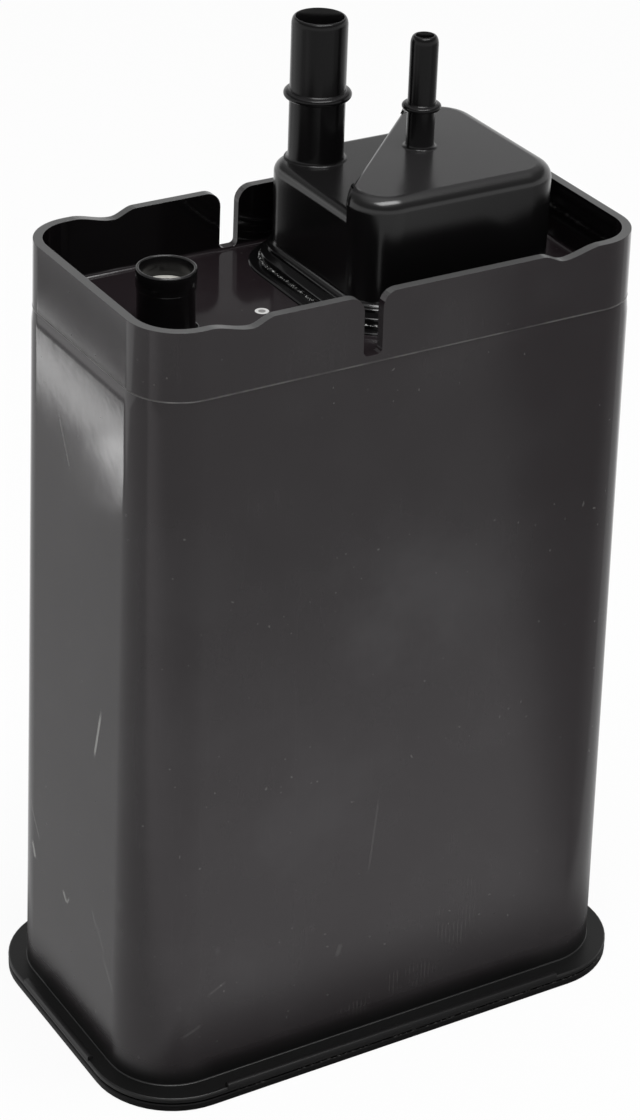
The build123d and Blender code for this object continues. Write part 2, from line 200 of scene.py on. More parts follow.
class Graph:
    # the nodes of one material or world
    def __init__(self, owner):
        self.owner = owner
        self.owner.use_nodes = True
        self.tree = self.owner.node_tree
        self.tree.nodes.clear()

    def node(self, kind, settings=None, values=None, out=0):
        made = self.tree.nodes.new(kind)
        for key, value in (settings or {}).items():
            if key == "stops":
                ramp = made.color_ramp
                for stop, (place, colour) in enumerate(value):
                    if stop >= len(ramp.elements):
                        ramp.elements.new(place)
                    ramp.elements[stop].position = place
                    ramp.elements[stop].color = (*colour, 1.0)
            else:
                setattr(made, key, value)
        for key, value in (values or {}).items():
            if isinstance(value, Wire):
                self.tree.links.new(value.socket, made.inputs[key])
            else:
                made.inputs[key].default_value = value
        return Wire(self, made.outputs[out]) if made.outputs else None

    def vector(self, operation, values, out=0):
        return self.node("ShaderNodeVectorMath", {"operation": operation}, values, out)

    def split(self, whole):
        return [self.node("ShaderNodeSeparateXYZ", None, {0: whole}, n) for n in range(3)]

    def places(self):
        # Object coordinates in millimetres, whole and split
        metres = self.node("ShaderNodeTexCoord", out="Object")
        whole = self.vector("SCALE", {0: metres, "Scale": 1000.0})
        return whole, self.split(whole)

    def facing(self):
        return self.split(self.node("ShaderNodeNewGeometry", out="Normal"))

    def near(self, whole, spots, core):
        # soft round spots given as middle, radius, strength; core is the share at full strength
        total = 0.0
        for middle, radius, strength in spots:
            away = self.vector("DISTANCE", {0: whole, 1: middle}, "Value")
            total = away.fade(radius * core, radius, 1.0, 0.0) * strength + total
        return total

    def bump(self, strength, distance, height):
        values = {"Strength": strength, "Distance": distance, "Height": height}
        return self.node("ShaderNodeBump", None, values)

    def blend(self, share, first, second):
        settings = {"data_type": "RGBA"}
        return self.node("ShaderNodeMix", settings, {0: share, 6: first, 7: second}, out=2)

    def grain(self, place, scale, detail=2.0, rough=0.5):
        values = {"Vector": place, "Scale": scale, "Detail": detail, "Roughness": rough}
        return self.node("ShaderNodeTexNoise", None, values, out=0)

    def finish(self, colour, rough, normal=None, specular=0.5, metallic=0.0):
        values = {
            "Base Color": colour, "Roughness": rough, "Metallic": metallic,
            "Specular IOR Level": specular,
        }
        if normal is not None:
            values["Normal"] = normal
        shader = self.node("ShaderNodeBsdfPrincipled", None, values)
        self.node("ShaderNodeOutputMaterial", None, {"Surface": shader})
        return self.owner


def stroke(across, along, start, end, width):
    # a thin straight mark on a face, from start to end, in the face's own two coordinates
    runU, runV = end[0] - start[0], end[1] - start[1]
    length = math.hypot(runU, runV)
    stepU, stepV = runU / length, runV / length
    passed = (across - start[0]) * stepU + (along - start[1]) * stepV
    off = (across - start[0]) * stepV - (along - start[1]) * stepU
    ends = passed.fade(0.0, length * 0.3) * passed.fade(length * 0.8, length, 1.0, 0.0)
    return off.size().fade(width * 0.35, width, 1.0, 0.0) * ends


def strokes(across, along, marks):
    total = 0.0
    for start, end, width, strength in marks:
        total = stroke(across, along, start, end, width) * strength + total
    return total


plastic = {
    "dark": (0.0135, 0.0100, 0.0115, 1.0),
    "worn": (0.036, 0.033, 0.035, 1.0),
    # pale colour of scratches and specks, also used for the painted highlight at the seam
    "paleMarkAndHighlight": (0.26, 0.26, 0.25, 1.0),
    "rimTop": (0.065, 0.065, 0.065, 1.0),
    # painted shade: near black for the collar's inward walls above the deck
    "paintedInnerShade": (0.0035, 0.0030, 0.0033, 1.0),
    # painted shade: near black for the body's foot beside the flange
    "foot": (0.004, 0.004, 0.004, 1.0),
    "gateHighlight": (0.62, 0.62, 0.61, 1.0),
    "gateMark": (-24.2, -2.4),      # moulded gate ring on the deck, drawn pale as a painted highlight
    "leftFace": (-74.0, -77.5),     # where the left face fades in along X
    "frontFace": (-38.0, -40.5),    # where the front face fades in along Y
    "rough": 0.060,
    "specular": 0.5,
    "sideStrokes": (          # on the left face: start and end as (y, z), width, strength
        ((13.2, 203.0), (4.3, 186.0), 0.45, 0.30),
        ((-16.5, 122.0), (-12.2, 103.0), 0.75, 1.0),
        ((27.5, 52.0), (25.0, 46.0), 1.0, 0.9),
        ((29.5, 66.0), (22.0, 54.0), 0.4, 0.35),
        ((-12.0, 52.0), (-15.5, 46.0), 0.6, 0.16),
        ((-14.5, 49.0), (-21.0, 40.0), 0.6, 0.14),
        ((-19.0, 40.0), (-27.0, 30.0), 0.8, 0.14),
        ((6.6, 46.6), (3.9, 43.2), 0.9, 0.75),
        ((2.2, 46.0), (3.9, 43.2), 0.6, 0.50),
    ),
    "frontStrokes": (         # on the long front face: start and end as (x, z), width, strength
        ((-4.9, 88.0), (-8.0, 59.0), 0.45, 0.10),
        ((-62.0, 34.0), (-55.0, 37.5), 0.6, 0.10),
        ((-70.0, 21.0), (-63.0, 25.0), 0.6, 0.08),
        ((-18.0, 33.0), (-16.6, 38.0), 1.1, 0.10),
    ),
    "hatches": (              # faint fine ribs left by handling: middle (x, z), half size
        ((23.6, 36.0), (8.0, 17.0)),
        ((-2.0, 13.5), (21.0, 8.0)),
    ),
    "hatchSlant": -0.3,
    "ribPitch": 4.5,
    "ribWander": 6.0,
    "ribStrength": 0.07,
    "handled": (              # broad paler places: middle, radius, strength
        ((2.0, -43.0, 145.0), 42.0, 0.55),
        ((-30.0, -44.0, 90.0), 40.0, 0.20),
        ((-50.0, -45.0, 45.0), 22.0, 0.25),
    ),
    # painted highlight along the seam's edge: height, half width, fade, strength
    "seamHighlight": (225.42, 0.12, 0.26, 0.24),
    "spots": (                # dull spots: place, radius, strength
        ((-81.9, -24.7, 69.1), 3.0, 0.50),
        ((-82.0, -28.7, 62.9), 3.2, 0.60),
        ((-82.2, -29.0, 52.7), 2.8, 0.55),
        ((-82.3, -23.0, 43.5), 2.4, 0.45),
        ((-81.2, -23.9, 107.2), 1.6, 0.50),
        ((-75.9, -41.8, 114.1), 1.3, 0.60),
        ((-75.6, -42.0, 100.9), 1.5, 0.55),
        ((-27.4, -45.0, 46.2), 2.2, 0.55),
        ((-58.4, -45.0, 49.2), 1.6, 0.45),
        ((-70.4, -44.0, 31.9), 1.6, 0.45),
        ((-79.0, -26.5, 233.0), 3.5, 0.16),
        ((-79.2, -20.0, 236.5), 2.0, 0.12),
    ),
}


def handlingMarks(places, haze):
    # scratches on the left face, scratches and faint ribs on the front face
    x, y, z = places
    side = strokes(y, z, plastic["sideStrokes"]).least(1.0)
    ahead = strokes(x, z, plastic["frontStrokes"])
    ribs = (x * plastic["ribPitch"] + haze * plastic["ribWander"]).sine().fade(0.2, 1.0)
    ribs = ribs * haze.fade(0.45, 0.6) * plastic["ribStrength"]
    for (midX, midZ), (halfX, halfZ) in plastic["hatches"]:
        over = (x - midX) / halfX
        up = (z - midZ + (x - midX) * plastic["hatchSlant"]) / halfZ
        ahead = (over.power(2.0) + up.power(2.0)).fade(0.4, 1.0, 1.0, 0.0) * ribs + ahead
    return side * x.fade(*plastic["leftFace"]) + ahead * y.fade(*plastic["frontFace"])


def wearShare(graph, whole, places, cloud):
    # how worn each place is, from 0 to 1
    x, y, z = places
    tall = graph.vector("MULTIPLY", {0: whole, 1: (1.0, 1.0, 0.06)})
    drawn = graph.grain(tall, 0.9, 3.0, 0.6).fade(0.56, 0.74) * 0.35
    blots = graph.near(whole, plastic["spots"], 0.3)
    blots = blots * graph.grain(whole, 0.5, 4.0, 0.65).fade(0.40, 0.62)
    scuffs = graph.grain(whole, 0.45, 4.0, 0.7).fade(0.58, 0.80) * z.fade(4.0, 70.0, 1.0, 0.0) * 0.5
    rise = z.fade(225.0, 110.0, 0.0, 0.17) * z.fade(5.0, 60.0, 0.2, 1.0)
    rise = rise * x.fade(72.0, 20.0, 0.1, 1.0) * x.fade(-80.0, -78.0, 0.4, 1.0)
    glow = graph.near(whole, plastic["handled"], 0.2) * cloud.fade(0.30, 0.65)
    return (cloud.fade(0.42, 0.70) * 0.24 + drawn * 0.25 + scuffs * 0.4 + rise + glow + blots).least(1.0)


def bodyPlastic():
    graph = Graph(bpy.data.materials.new("blackPlastic"))
    whole, (x, y, z) = graph.places()
    cloud = graph.grain(whole, 0.022, 4.0, 0.55)
    haze = graph.grain(whole, 0.11, 3.0, 0.6)
    grain = graph.grain(whole, 3.2, 2.0, 0.6)
    specks = graph.grain(whole, 0.85, 0.0, 0.5).fade(0.855, 0.875)
    marks = handlingMarks((x, y, z), haze)
    worn = wearShare(graph, whole, (x, y, z), cloud)
    faceX, faceY, faceZ = graph.facing()
    # painted shade: the collar's inward-facing walls above the deck are drawn near black
    paintedInnerShade = (x * faceX + y * faceY).fade(-2.0, -12.0) * z.fade(227.0, 228.5)
    rimTop = faceZ.fade(0.55, 0.90) * z.fade(240.0, 241.0)
    colour = graph.blend(worn, plastic["dark"], plastic["worn"])
    colour = graph.blend((marks + specks * 0.25).least(1.0), colour, plastic["paleMarkAndHighlight"])
    colour = graph.blend(paintedInnerShade, colour, plastic["paintedInnerShade"])
    colour = graph.blend(rimTop, colour, plastic["rimTop"])
    # painted highlight: a pale line along the seam, under the collar
    height, half, fade, strength = plastic["seamHighlight"]
    seam = (z - height).size().fade(half, fade, 1.0, 0.0) * haze.fade(0.30, 0.60, 0.25, 1.0) * strength
    colour = graph.blend(seam * z.fade(240.0, 230.0), colour, plastic["paleMarkAndHighlight"])
    # painted shade: the body darkens towards its foot just above the flange
    colour = graph.blend(z.fade(4.8, 14.0, 1.0, 0.0), colour, plastic["foot"])
    # painted highlight: a pale ring where the deck's moulded gate ring catches the light
    markX, markY = plastic["gateMark"]
    offset = ((x - markX).power(2.0) + (y - markY).power(2.0)).power(0.5)
    ring = offset.fade(1.9, 2.05, 1.0, 0.0) * offset.fade(0.95, 1.15, 0.35, 1.0) * z.fade(225.0, 226.0)
    colour = graph.blend(ring * z.fade(228.0, 229.0, 1.0, 0.0), colour, plastic["gateHighlight"])
    rough = plastic["rough"] + haze * 0.04 + worn * 0.05 + rimTop * 0.22 + z.fade(5.0, 26.0, 0.26, 0.0)
    relief = grain * 0.06 + (cloud * 1.1 + haze * 0.3) * z.fade(222.0, 227.0, 1.0, 0.25)
    return graph.finish(colour, rough, graph.bump(1.0, 0.00005, relief), plastic["specular"])


gloss = {
    "clean": (0.0040, 0.0038, 0.0040, 1.0),
    "dust": (0.017, 0.0165, 0.017, 1.0),
    # painted glint: pale colour for the flash bits on the foot's parting line
    "flashGlint": (0.17, 0.17, 0.165, 1.0),
    "partingLine": 2.7,
}


def glossPlastic(name, specular=0.5):
    # deck, dome, tubes and flange: the same plastic, less handled; what faces up holds a little dust
    graph = Graph(bpy.data.materials.new(name))
    whole, (x, y, z) = graph.places()
    cloud = graph.grain(whole, 0.05, 3.0, 0.5)
    grain = graph.grain(whole, 3.0, 2.0, 0.6)
    up = graph.facing()[2].fade(0.80, 0.98)
    dusty = up * z.fade(256.5, 262.0, 0.25, 1.0) * z.fade(245.0, 254.0)
    colour = graph.blend(dusty, gloss["clean"], gloss["dust"])
    # flash bits along the parting line at the front foot: the flash is real, its paleness is a painted glint
    atParting = (z - gloss["partingLine"]).size().fade(0.15, 0.55, 1.0, 0.0)
    flashGlints = graph.grain(whole, 1.1, 3.0, 0.6).fade(0.52, 0.62) * atParting
    flashGlints = flashGlints * y.fade(-44.0, -50.0) * x.fade(-58.0, -46.0)
    colour = graph.blend(flashGlints, colour, gloss["flashGlint"])
    rough = 0.10 + cloud * 0.06 + z.fade(231.0, 233.0) * 0.07 + z.fade(8.0, 6.0) * 0.25
    return graph.finish(colour, rough, graph.bump(0.25, 0.00002, grain), specular)


flash = {
    "reach": 5.25,
    "thick": 0.45,
    "height": 228.25,
    "wander": 0.36,
    "steps": 8,
    "longest": 6.0,
    "cuts": 60,
    "dark": (0.008, 0.008, 0.008, 1.0),
    "glint": (0.42, 0.42, 0.41, 1.0),
}


def flashPlastic():
    graph = Graph(bpy.data.materials.new("weldFlash"))
    whole = graph.places()[0]
    lumps = graph.grain(whole, 0.9, 4.0, 0.65)
    glints = graph.grain(whole, 1.6, 2.0, 0.6).fade(0.55, 0.62)
    colour = graph.blend(glints, flash["dark"], flash["glint"])
    return graph.finish(colour, 0.16 + glints * 0.2, graph.bump(0.9, 0.0006, lumps), 0.5)


def innerFinish(name, first, second, scale, rough, metallic=0.0, depth=0.0003):
    # the sealed pieces: two tones of one grain, and its relief
    graph = Graph(bpy.data.materials.new(name))
    lumps = graph.grain(graph.places()[0], scale, 3.0, 0.6)
    colour = graph.blend(lumps.fade(0.3, 0.7), (*first, 1.0), (*second, 1.0))
    return graph.finish(colour, rough + lumps * 0.1, graph.bump(0.6, depth, lumps), 0.4, metallic)


bodyFinish = bodyPlastic()
cleanFinish = glossPlastic("blackPlasticClean")
tubeFinish = glossPlastic("blackPlasticTube", 0.22)
flashFinish = flashPlastic()
innerFinishes = {
    "carbon": innerFinish(
        "carbonPellets", (0.008, 0.008, 0.008), (0.035, 0.035, 0.035), 0.5, 0.75, depth=0.002
    ),
    "foam": innerFinish("openFoam", (0.05, 0.05, 0.055), (0.14, 0.14, 0.145), 0.9, 0.9, depth=0.001),
    "felt": innerFinish("pressedFelt", (0.50, 0.49, 0.46), (0.68, 0.67, 0.63), 2.5, 0.95),
    "plate": innerFinish(
        "platePlastic", (0.018, 0.018, 0.018), (0.03, 0.03, 0.03), 0.3, 0.45, depth=0.00005
    ),
    "spring": innerFinish(
        "springWire", (0.42, 0.42, 0.43), (0.58, 0.58, 0.57), 1.5, 0.28, 1.0, 0.00003
    ),
    "screen": innerFinish(
        "screenPlastic", (0.42, 0.41, 0.38), (0.55, 0.54, 0.50), 1.2, 0.55, depth=0.00005
    ),
}
print("materials made")

# housing

housing = {
    "flangeReach": (5.3, 6.8),
    "flangeCorner": 25.6,
    "flangeLow": 2.8,
    "flangeTop": 4.6,
    "flangeEdge": 0.35,
    "footRound": 0.4,
    "bands": (60.0, 140.0),   # heights of the rings between foot and shoulder
    "rim": 245.2,
    "rimWall": 2.7,
    "rimRound": 0.45,
    "collarStep": 0.25,
    "shoulder": 4.6,          # the body's last stretch under the seam leans in a little more
    "shoulderLean": 0.40,
    "seamBead": 0.22,
    "deck": 226.8,
    "deckRound": 1.2,
    "slotX": -12.1,
    "slotWide": 5.8,
    "slotFloor": 227.5,
    "slotFloorRound": 1.4,
    "slotMouthRound": 4.6,
    "scallopNear": 42.0,
    "scallopDeepest": 49.0,
    "scallopFar": 61.5,
    "scallopDepth": 2.3,
    "lipHigh": 1.2,
    "lipWide": 1.7,
    "lipFront": 115.96,
    "lipSide": 43.06,
}


def flangeRing(inset, height):
    reachX, reachY = housing["flangeReach"]
    foot = leanAt(housing["flangeLow"])
    return (
        body["length"] + 2 * (reachX - foot - inset),
        body["width"] + 2 * (reachY - foot - inset),
        housing["flangeCorner"] - inset,
        height,
    )


def housingShell():
    bm = bmesh.new()
    h = housing
    edge = h["flangeEdge"]
    rings = [
        flangeRing(edge, h["flangeLow"]),
        flangeRing(0.0, h["flangeLow"] + edge),
        flangeRing(0.0, h["flangeTop"] - edge),
        flangeRing(edge, h["flangeTop"]),
    ]
    rounding = h["footRound"]
    for out, up in arc(-90, -180, rounding, rounding, rounding, 5):
        rings.append(bodyRing(out, h["flangeTop"] + up))
    lean, bead, seam = h["shoulderLean"], h["seamBead"], body["seam"]
    for height in (*h["bands"], seam - h["shoulder"]):
        rings.append(bodyRing(0.0, height))
    rings.append(bodyRing(-lean, seam - 0.5))
    for out, up in arc(-80, 80, 0.0, 0.0, bead, 6):
        rings.append(bodyRing(out - lean, seam - bead + up))
    rings.append(bodyRing(-h["collarStep"] - 0.05, seam + 0.12))
    rings.append(bodyRing(-h["collarStep"], seam + 0.3))
    inner = -h["collarStep"] - h["rimWall"]
    rings.append(bodyRing(-h["collarStep"], h["rim"]))
    rings.append(bodyRing(inner, h["rim"]))
    for out, up in arc(0, -90, -h["deckRound"], h["deckRound"], h["deckRound"], 5):
        rings.append(bodyRing(inner + out, h["deck"] + up))
    ringStack(bm, rings)
    return finishPiece(bm, "housing_shell", bodyFinish, ["housing"])


def prism(points, low, high, name):
    # cutter: an outline in X and Z, drawn out along Y
    bm = bmesh.new()
    verts = [bm.verts.new((x, low, z)) for x, z in points]
    face = bm.faces.new(verts)
    moved = bmesh.ops.extrude_face_region(bm, geom=[face])["geom"]
    lifted = [v for v in moved if isinstance(v, bmesh.types.BMVert)]
    bmesh.ops.translate(bm, vec=(0, high - low, 0), verts=lifted)
    bmesh.ops.recalc_face_normals(bm, faces=bm.faces)
    bmesh.ops.scale(bm, vec=(toMetres, toMetres, toMetres), verts=bm.verts)
    mesh = bpy.data.meshes.new(name)
    bm.to_mesh(mesh)
    bm.free()
    cutter = bpy.data.objects.new(name, mesh)
    bpy.context.scene.collection.objects.link(cutter)
    return cutter


def slotOutline():
    h = housing
    half, mouth, foot = h["slotWide"] / 2, h["slotMouthRound"], h["slotFloorRound"]
    x, top, floor = h["slotX"], h["rim"], h["slotFloor"]
    right = arc(-90, 0, x + half - foot, floor + foot, foot, 5)
    right += arc(180, 90, x + half + mouth, top - mouth, mouth, 8)
    right += [(x + half + mouth, top + 2)]
    left = [(2 * x - px, pz) for px, pz in reversed(right)]
    return right + left


def scallopOutline(side):
    h = housing
    near, deep, far = h["scallopNear"], h["scallopDeepest"], h["scallopFar"]
    points = []
    steps = 18
    for n in range(steps + 1):
        x = near + (far - near) * n / steps
        if x < deep:
            share = (x - near) / (deep - near)
        else:
            share = (far - x) / (far - deep)
        ease = share * share * (3 - 2 * share)
        points.append((side * x, h["rim"] + 0.02 - h["scallopDepth"] * ease))
    points += [(side * far, h["rim"] + 2), (side * near, h["rim"] + 2)]
    return points


shell = housingShell()
print("housing stacked:", len(shell.data.polygons), "faces")
outside = body["width"]
cutWith(shell, prism(slotOutline(), -outside, outside, "slotCutter"))
for side in (-1, 1):
    cutWith(shell, prism(scallopOutline(side), -outside, outside, "scallopCutter"))
rimBevel = shell.modifiers.new("rimBevel", "BEVEL")
rimBevel.width = housing["rimRound"] * toMetres
rimBevel.segments = 3
rimBevel.limit_method = "ANGLE"
rimBevel.angle_limit = math.radians(38)
flatNormals(shell)
applyModifiers(shell)
print("slots and scallops cut:", len(shell.data.polygons), "faces")

# what stands on the housing: nipple, pad, rib, lips

nipple = {
    "place": (-52.8, 0.0),
    "top": 244.8,
    "lip": 8.4,
    "lipHigh": 6.0,
    "neck": 8.1,
    "bore": 7.4,
    "step": 238.2,
    "throat": 6.2,
    "footRound": 1.0,
    "steps": 72,
}


def ventNipple():
    n = nipple
    deck = housing["deck"]
    bm = bmesh.new()
    profile = [(n["neck"] + n["footRound"], deck - 0.6)]
    foot = n["footRound"]
    profile += arc(-90, -180, n["neck"] + foot, deck + foot, foot, 5)
    profile += [
        (n["neck"], n["top"] - n["lipHigh"]),
        (n["neck"] + 0.08, n["top"] - n["lipHigh"] + 0.2),
        (n["lip"], n["top"] - n["lipHigh"] + 0.6),
    ]
    profile += arc(0, 90, n["lip"] - 0.45, n["top"] - 0.45, 0.45, 4)
    profile += arc(90, 180, n["bore"] + 0.35, n["top"] - 0.35, 0.35, 3)
    profile += [
        (n["bore"], n["step"] + 0.02),
        (n["throat"], n["step"]),
        (n["throat"], deck + 0.1),
        (0.001, deck + 0.1),
    ]
    spunShape(bm, profile, n["place"], n["steps"])
    return finishPiece(bm, "vent_nipple", cleanFinish)


dome = {
    "left": -4.8,
    "right": 59.4,
    "front": -25.1,
    "back": 35.0,
    "corner": 11.5,
    "foot": 231.6,
    "high": 262.4,
    "low": 256.0,
    "topRound": 3.0,
    "tallRound": 4.2,
    "tallSink": 4.5,
    "ridge": -8.5,            # the ridge runs along y = x + ridge
    "ridgeRound": 0.9,
    "weldLow": 228.2,
    "weldReach": 5.0,
    "weldBack": 1.4,
    "weldRound": 0.8,
    "weldSlope": 0.35,
    "footRise": 1.6,
    "stepReach": 2.1,
    "stepBack": 1.1,
    "stepHigh": 1.0,
    "seatReach": 5.8,
    "padReach": 8.4,
    "padHigh": 0.6,
}


def domeRing(reach, back, height):
    d = dome
    left, right, front = d["left"] - reach, d["right"] + reach, d["front"] - reach
    rear = d["back"] + back
    centre = ((left + right) / 2, (front + rear) / 2)
    return (right - left, rear - front, d["corner"] + reach, height, centre)


def padAndRib():
    d = dome
    deck = housing["deck"]
    bm = bmesh.new()
    shorter = d["weldBack"] - d["weldReach"]
    pad, rib = d["padReach"], d["seatReach"]
    top = deck + d["padHigh"]
    ringStack(bm, [
        domeRing(pad, pad + shorter, deck - 0.5),
        domeRing(pad, pad + shorter, top - 0.55),
        domeRing(pad - 0.12, pad + shorter - 0.12, top - 0.25),
        domeRing(pad - 0.5, pad + shorter - 0.5, top - 0.05),
        domeRing(pad - 0.9, pad + shorter - 0.9, top),
    ])
    ringStack(bm, [
        domeRing(rib, rib + shorter, top - 0.4),
        domeRing(rib, rib + shorter, d["weldLow"]),
    ])
    return finishPiece(bm, "dome_pad", cleanFinish)


def flangeLips():
    # raised lips along the straight edges of the foot flange
    h = housing
    length, width = flangeRing(0.0, 0.0)[:2]
    bm = bmesh.new()
    bars = []
    for side in (-1, 1):
        bars.append((0.0, side * (width - h["lipWide"]) / 2, h["lipFront"], h["lipWide"]))
        bars.append((side * (length - h["lipWide"]) / 2, 0.0, h["lipWide"], h["lipSide"]))
    low, high = h["flangeTop"] - 0.6, h["flangeTop"] + h["lipHigh"]
    for x, y, long, wide in bars:
        cube = bmesh.ops.create_cube(bm, size=1.0)["verts"]
        bmesh.ops.scale(bm, vec=(long, wide, high - low), verts=cube)
        bmesh.ops.translate(bm, vec=(x, y, (high + low) / 2), verts=cube)
    top = [e for e in bm.edges if all(v.co.z > high - 0.01 for v in e.verts)]
    bmesh.ops.bevel(
        bm, geom=top, offset=0.3, offset_type="OFFSET", segments=2, profile=0.5,
        affect="EDGES", material=-1,
    )
    return finishPiece(bm, "flange_lips", cleanFinish)


ventNipple()
padAndRib()
flangeLips()
print("nipple, pad and lips made")

# dome cover


def domeRings(top):
    d = dome
    weld, back = d["weldReach"], d["weldBack"]
    weldTop = d["foot"] - d["stepHigh"]
    stepBack = d["stepBack"]
    rings = [domeRing(weld, back, d["weldLow"])]
    rounding, slope = d["weldRound"], d["weldSlope"]
    for out, up in arc(0, 60, -rounding, -rounding, rounding, 5):
        rings.append(domeRing(weld + out, back + out, weldTop - slope + up))
    rings.append(domeRing(d["stepReach"], stepBack, weldTop))
    rings.append(domeRing(d["stepReach"], stepBack, d["foot"] - 0.2))
    rings.append(domeRing(d["stepReach"] - 0.2, stepBack - 0.2, d["foot"]))
    across, rise = d["stepReach"] - 0.3, d["footRise"]
    for out, up in arc(-90, -180, 1.0, 1.0, 1.0, 7):
        rings.append(domeRing(out * across, out * (stepBack - 0.3), d["foot"] + up * rise))
    rounding = d["topRound"]
    for out, up in arc(0, 90, -rounding, -rounding, rounding, 8):
        rings.append(domeRing(out, out, top + up))
    return rings


def domeShell():
    d = dome
    bm = bmesh.new()
    ringStack(bm, domeRings(d["low"]))
    tall = bmesh.new()
    tallFoot = d["low"] - d["tallSink"]
    ringStack(tall, [
        domeRing(0.02, 0.02, tallFoot),
        *[
            domeRing(out + 0.02, out + 0.02, d["high"] + up)
            for out, up in arc(0, 90, -d["tallRound"], -d["tallRound"], d["tallRound"], 10)
        ],
    ])
    # the corner behind the ridge comes off the tall part, and the cut face is closed
    line = Vector((0.0, d["ridge"], 0.0))
    off = Vector((-1.0, 1.0, 0.0)).normalized()
    bmesh.ops.bisect_plane(
        tall, geom=tall.verts[:] + tall.edges[:] + tall.faces[:], plane_co=line, plane_no=off,
        clear_outer=True,
    )
    openEdges = [e for e in tall.edges if e.is_boundary]
    bmesh.ops.holes_fill(tall, edges=openEdges, sides=0)
    ridge = [
        e for e in tall.edges
        if all(abs((v.co - line).dot(off)) < 0.001 and v.co.z > tallFoot + 0.1 for v in e.verts)
    ]
    bmesh.ops.bevel(
        tall, geom=ridge, offset=d["ridgeRound"], offset_type="OFFSET", segments=3, profile=0.5,
        affect="EDGES", material=-1,
    )
    mesh = bpy.data.meshes.new("tallPart")
    tall.to_mesh(mesh)
    tall.free()
    bm.from_mesh(mesh)
    bpy.data.meshes.remove(mesh)
    piece = finishPiece(bm, "dome_shell", cleanFinish, ["dome_cover"])
    flatNormals(piece)
    return piece


tubes = {
    "tank_tube": {
        "place": (8.5, 26.2), "foot": 256.0, "top": 297.6, "radius": 7.94, "bore": 5.9, "mouth": 6.8,
        "bead": 9.65, "beadHigh": 2.3, "beadAt": 275.2, "sink": 2.6,
    },
    "purge_tube": {
        "place": (30.8, 7.0), "foot": 262.4, "top": 295.0, "radius": 3.97, "bore": 2.1, "mouth": 2.6,
        "bead": 5.56, "beadHigh": 1.7, "beadAt": 274.4, "sink": 1.0,
    },
}


def quickConnectTube(name, t):
    radius, half = t["radius"], t["beadHigh"] / 2
    bead, at = t["bead"], t["beadAt"]
    foot, flare = t["foot"], 1.1
    profile = [(radius + flare, foot - t["sink"])]
    profile += arc(-90, -180, radius + flare, foot + flare, flare, 6)
    profile += [(radius, at - half - 0.25), (radius + 0.25, at - half)]
    tipRound = half * 0.9
    profile += arc(-75, 75, bead - tipRound, at, tipRound, 10)
    profile += [(radius + 0.25, at + half), (radius, at + half + 0.25)]
    tip = 0.85 * (radius - t["mouth"])
    high = 2.2 * tip
    for n in range(7):
        turn = math.radians(90 * n / 6)
        profile.append((radius - tip + tip * math.cos(turn), t["top"] - high + high * math.sin(turn)))
    profile += [
        (t["mouth"], t["top"]),
        (t["mouth"] - 0.1, t["top"] - 0.3),
        (t["bore"], t["top"] - 3.0 * (t["mouth"] - t["bore"])),
        (t["bore"], foot - 0.5),
        (0.001, foot - 0.5),
    ]
    bm = bmesh.new()
    spunShape(bm, profile, t["place"], 72)
    return finishPiece(bm, name, tubeFinish)


domeShell()
for name, facts in tubes.items():
    quickConnectTube(name, facts)
print("dome and tubes made")

# bottom cover

cover = {"thick": 2.8, "parting": 0.4, "partingDeep": 1.2, "edge": 0.5, "recess": 0.8, "band": 9.0}


def coverShell():
    c = cover
    bm = bmesh.new()
    high = c["thick"] - c["parting"]
    ringStack(bm, [
        flangeRing(c["band"], c["recess"]),
        flangeRing(c["band"], 0.2),
        flangeRing(c["band"] - 0.2, 0.0),
        flangeRing(c["edge"], 0.0),
        flangeRing(c["edge"] * 0.3, c["edge"] * 0.3),
        flangeRing(0.0, c["edge"]),
        flangeRing(0.0, high - 0.3),
        flangeRing(0.3, high),
        flangeRing(c["partingDeep"], high),
        flangeRing(c["partingDeep"], c["thick"]),
    ])
    piece = finishPiece(bm, "cover_shell", tubeFinish, ["bottom_cover"])
    flatNormals(piece)
    return piece


coverShell()
print("bottom cover made")

# weld flash


def domeFlash():
    f = flash
    d = dome
    shorter = d["weldBack"] - d["weldReach"]
    bm = bmesh.new()
    rings = []
    for n in range(f["steps"]):
        turn = math.tau * n / f["steps"]
        out = f["reach"] + f["thick"] * math.cos(turn)
        rings.append(domeRing(out, out + shorter, f["height"] + f["thick"] * 0.7 * math.sin(turn)))
    faces = [outlineRing(bm, *ring) for ring in rings]
    loops = [list(face.edges) for face in faces]
    bmesh.ops.delete(bm, geom=faces, context="FACES_ONLY")
    for lower, upper in zip(loops, loops[1:] + loops[:1]):
        bmesh.ops.bridge_loops(bm, edges=lower + upper)
    long = [e for e in bm.edges if e.calc_length() > f["longest"]]
    bmesh.ops.subdivide_edges(bm, edges=long, cuts=f["cuts"], use_grid_fill=True)
    bmesh.ops.recalc_face_normals(bm, faces=bm.faces)
    for v in bm.verts:
        swell = noise.noise(v.co * 0.3) + 0.9 * noise.noise(v.co * 1.3)
        v.co += v.normal * (swell * f["wander"] - 0.08)
    return finishPiece(bm, "dome_weld_flash", flashFinish, smoothTo=60)


domeFlash()
print("weld flash made")

# finishes of the CAD nodes that stay

for name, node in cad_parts.items():
    for word, finish in innerFinishes.items():
        if word in name:
            node.data.materials.clear()
            node.data.materials.append(finish)

# floor, light and camera

